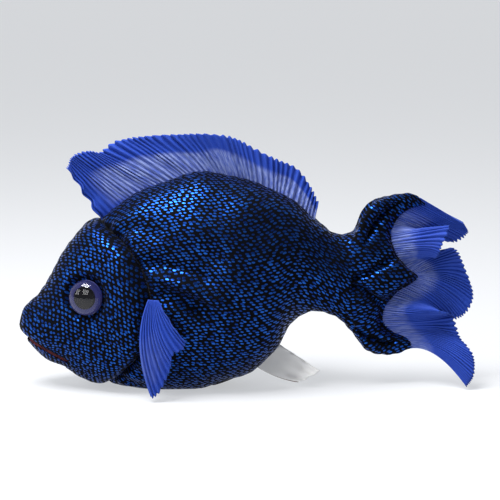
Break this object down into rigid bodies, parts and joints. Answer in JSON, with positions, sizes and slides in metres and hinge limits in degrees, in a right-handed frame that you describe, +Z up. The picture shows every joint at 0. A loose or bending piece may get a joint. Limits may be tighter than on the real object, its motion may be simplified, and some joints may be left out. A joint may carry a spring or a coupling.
{
  "type": "plush fish finger puppet",
  "caption": "Stuffed cloth fish with pleated fins, plastic eyes, a lined mouth and a finger sleeve in its belly; it rests on its belly.",
  "frame": {"origin": "on the ground, under the middle of the whole fish", "axes": "+X from nose to tail, +Y towards the fish's right side, +Z up"},
  "size_m": [0.197, 0.0716, 0.1112],
  "materials": {
    "skin": "black cloth printed with metallic blue foil dots",
    "fin_cloth": "pleated sheer cloth, royal blue",
    "filling": "loose polyester fibre",
    "lining": "black woven cloth",
    "mouth_cloth": "dull red cloth",
    "clear_plastic": "clear, polished",
    "iris_plastic": "deep blue, glossy",
    "black_plastic": "black, glossy",
    "washer_plastic": "white, matte",
    "label": "white satin ribbon, blank"
  },
  "bodies": {
    "body": {"head_panel_left": "skin", "head_panel_right": "skin", "body_panel_left": "skin", "body_panel_right": "skin", "body_stuffing": "filling", "finger_sleeve": "lining", "mouth_roof_lining": "mouth_cloth", "eye_back_left": "iris_plastic", "eye_pupil_left": "black_plastic", "eye_dome_left": "clear_plastic", "eye_washer_left": "washer_plastic", "eye_back_right": "iris_plastic", "eye_pupil_right": "black_plastic", "eye_dome_right": "clear_plastic", "eye_washer_right": "washer_plastic"},
    "jaw": {"lower_lip": "skin", "mouth_floor_lining": "mouth_cloth"},
    "tail": {"tail_panel_left": "skin", "tail_panel_right": "skin", "tail_stuffing": "filling"},
    "tail_fin": {"tail_fin": "fin_cloth"},
    "dorsal_fin": {"dorsal_fin": "fin_cloth"},
    "left_fin": {"pectoral_fin_left": "fin_cloth"},
    "right_fin": {"pectoral_fin_right": "fin_cloth"},
    "label": {"care_label": "label"}
  },
  "joints": [
    {"name": "jaw_open", "type": "hinge", "parent": "body", "child": "jaw", "pos_m": [-0.0797, 0, 0.0091], "axis": [0, -1, 0], "range_deg": [0, 12], "stiffness_Nm_per_rad": 0.002},
    {"name": "tail_wag", "type": "hinge", "parent": "body", "child": "tail", "pos_m": [0.034, 0, 0.05], "axis": [0, 0, 1], "range_deg": [-25, 25], "stiffness_Nm_per_rad": 0.06},
    {"name": "tail_fin_sway", "type": "hinge", "parent": "tail", "child": "tail_fin", "pos_m": [0.0605, 0, 0.05], "axis": [0, 0, 1], "range_deg": [-12, 12], "stiffness_Nm_per_rad": 0.006},
    {"name": "dorsal_fin_lean", "type": "hinge", "parent": "body", "child": "dorsal_fin", "pos_m": [-0.025, 0, 0.0948], "axis": [1, 0, 0], "range_deg": [-15, 15], "stiffness_Nm_per_rad": 0.006},
    {"name": "left_fin_swing", "type": "hinge", "parent": "body", "child": "left_fin", "pos_m": [-0.0405, -0.0305, 0.0435], "axis": [-1, 0, 0], "range_deg": [0, 60]},
    {"name": "right_fin_swing", "type": "hinge", "parent": "body", "child": "right_fin", "pos_m": [-0.0405, 0.0305, 0.0435], "axis": [1, 0, 0], "range_deg": [0, 60]},
    {"name": "label_flap", "type": "hinge", "parent": "body", "child": "label", "pos_m": [0.008, -0.0005, 0.0105], "axis": [0.7413, 0, 0.6712], "range_deg": [-25, 25], "stiffness_Nm_per_rad": 0.001}
  ]
}
